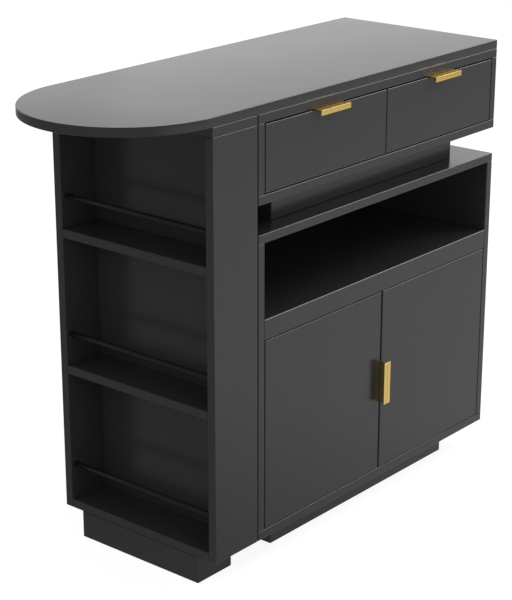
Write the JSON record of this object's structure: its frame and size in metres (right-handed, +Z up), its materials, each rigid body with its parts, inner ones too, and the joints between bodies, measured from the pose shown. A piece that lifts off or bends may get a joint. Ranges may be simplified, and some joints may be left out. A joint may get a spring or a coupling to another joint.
{
  "type": "bar counter",
  "caption": "Free-standing bar counter in satin black lacquer: round-ended worktop over an open shelf tower with guard rails, flush drawers, a niche and a cupboard with brass edge pulls.",
  "frame": {"origin": "on the floor, under the middle of the object's box, pulls included", "axes": "+X along the worktop from its round end to its square end, +Y from the fronts to the back, +Z up"},
  "size_m": [1.1, 0.418, 0.915],
  "materials": {
    "black_lacquer": "satin black lacquer on board",
    "black_rail": "satin black powder coat on a steel bar",
    "drawer_box": "matt dark foil on board",
    "brass_pull": "satin brushed gold plating",
    "slide_steel": "bright zinc plating",
    "pivot_steel": "turned, zinc plated",
    "catch_nylon": "moulded matt nylon"
  },
  "bodies": {
    "carcass": {"worktop": "black_lacquer", "tower_top_panel": "black_lacquer", "tower_front_side": "black_lacquer", "tower_rear_side": "black_lacquer", "tower_bottom_board": "black_lacquer", "tower_lower_shelf": "black_lacquer", "tower_upper_shelf": "black_lacquer", "tower_back_panel": "black_lacquer", "lower_guard_rail": "black_rail", "middle_guard_rail": "black_rail", "upper_guard_rail": "black_rail", "tower_plinth": "black_lacquer", "cabinet_plinth": "black_lacquer", "cabinet_bottom_panel": "black_lacquer", "cabinet_left_side": "black_lacquer", "cabinet_right_side": "black_lacquer", "cabinet_back_panel": "black_lacquer", "niche_floor": "black_lacquer", "apron_rail": "black_lacquer", "cabinet_top_panel": "black_lacquer", "riser_frame": "black_lacquer", "case_bottom_panel": "black_lacquer", "case_left_side": "black_lacquer", "case_right_side": "black_lacquer", "case_back_panel": "black_lacquer", "case_divider": "black_lacquer", "case_top_panel": "black_lacquer", "magnetic_catch": "catch_nylon", "left_bottom_pivot": "pivot_steel", "left_top_pivot": "pivot_steel", "left_drawer_left_outer_slide": "slide_steel", "left_drawer_right_outer_slide": "slide_steel", "right_bottom_pivot": "pivot_steel", "right_top_pivot": "pivot_steel", "right_drawer_left_outer_slide": "slide_steel", "right_drawer_right_outer_slide": "slide_steel"},
    "left_door": {"left_door": "black_lacquer", "left_door_pull": "brass_pull"},
    "left_drawer": {"left_drawer_front": "black_lacquer", "left_drawer_left_side": "drawer_box", "left_drawer_right_side": "drawer_box", "left_drawer_back": "drawer_box", "left_drawer_floor": "drawer_box", "left_drawer_pull": "brass_pull", "left_drawer_left_inner_slide": "slide_steel", "left_drawer_right_inner_slide": "slide_steel"},
    "left_middle_slides": {"left_drawer_left_middle_slide": "slide_steel", "left_drawer_right_middle_slide": "slide_steel"},
    "right_door": {"right_door": "black_lacquer", "right_door_pull": "brass_pull"},
    "right_drawer": {"right_drawer_front": "black_lacquer", "right_drawer_left_side": "drawer_box", "right_drawer_right_side": "drawer_box", "right_drawer_back": "drawer_box", "right_drawer_floor": "drawer_box", "right_drawer_pull": "brass_pull", "right_drawer_left_inner_slide": "slide_steel", "right_drawer_right_inner_slide": "slide_steel"},
    "right_middle_slides": {"right_drawer_left_middle_slide": "slide_steel", "right_drawer_right_middle_slide": "slide_steel"}
  },
  "joints": [
    {"name": "left_door_hinge", "type": "hinge", "parent": "carcass", "child": "left_door", "pos_m": [-0.181, -0.182, 0.269], "axis": [0, 0, -1], "range_deg": [0, 110]},
    {"name": "right_door_hinge", "type": "hinge", "parent": "carcass", "child": "right_door", "pos_m": [0.505, -0.182, 0.269], "axis": [0, 0, 1], "range_deg": [0, 110]},
    {"name": "left_drawer_travel", "type": "slide", "parent": "carcass", "child": "left_drawer", "axis": [0, -1, 0], "range_m": [0, 0.33]},
    {"name": "left_middle_slide_travel", "type": "slide", "parent": "carcass", "child": "left_middle_slides", "axis": [0, -1, 0], "range_m": [0, 0.165]},
    {"name": "right_drawer_travel", "type": "slide", "parent": "carcass", "child": "right_drawer", "axis": [0, -1, 0], "range_m": [0, 0.33]},
    {"name": "right_middle_slide_travel", "type": "slide", "parent": "carcass", "child": "right_middle_slides", "axis": [0, -1, 0], "range_m": [0, 0.165]}
  ],
  "couplings": [
    {"joint": "left_middle_slide_travel", "follows": "left_drawer_travel", "ratio": 0.5},
    {"joint": "right_middle_slide_travel", "follows": "right_drawer_travel", "ratio": 0.5}
  ]
}
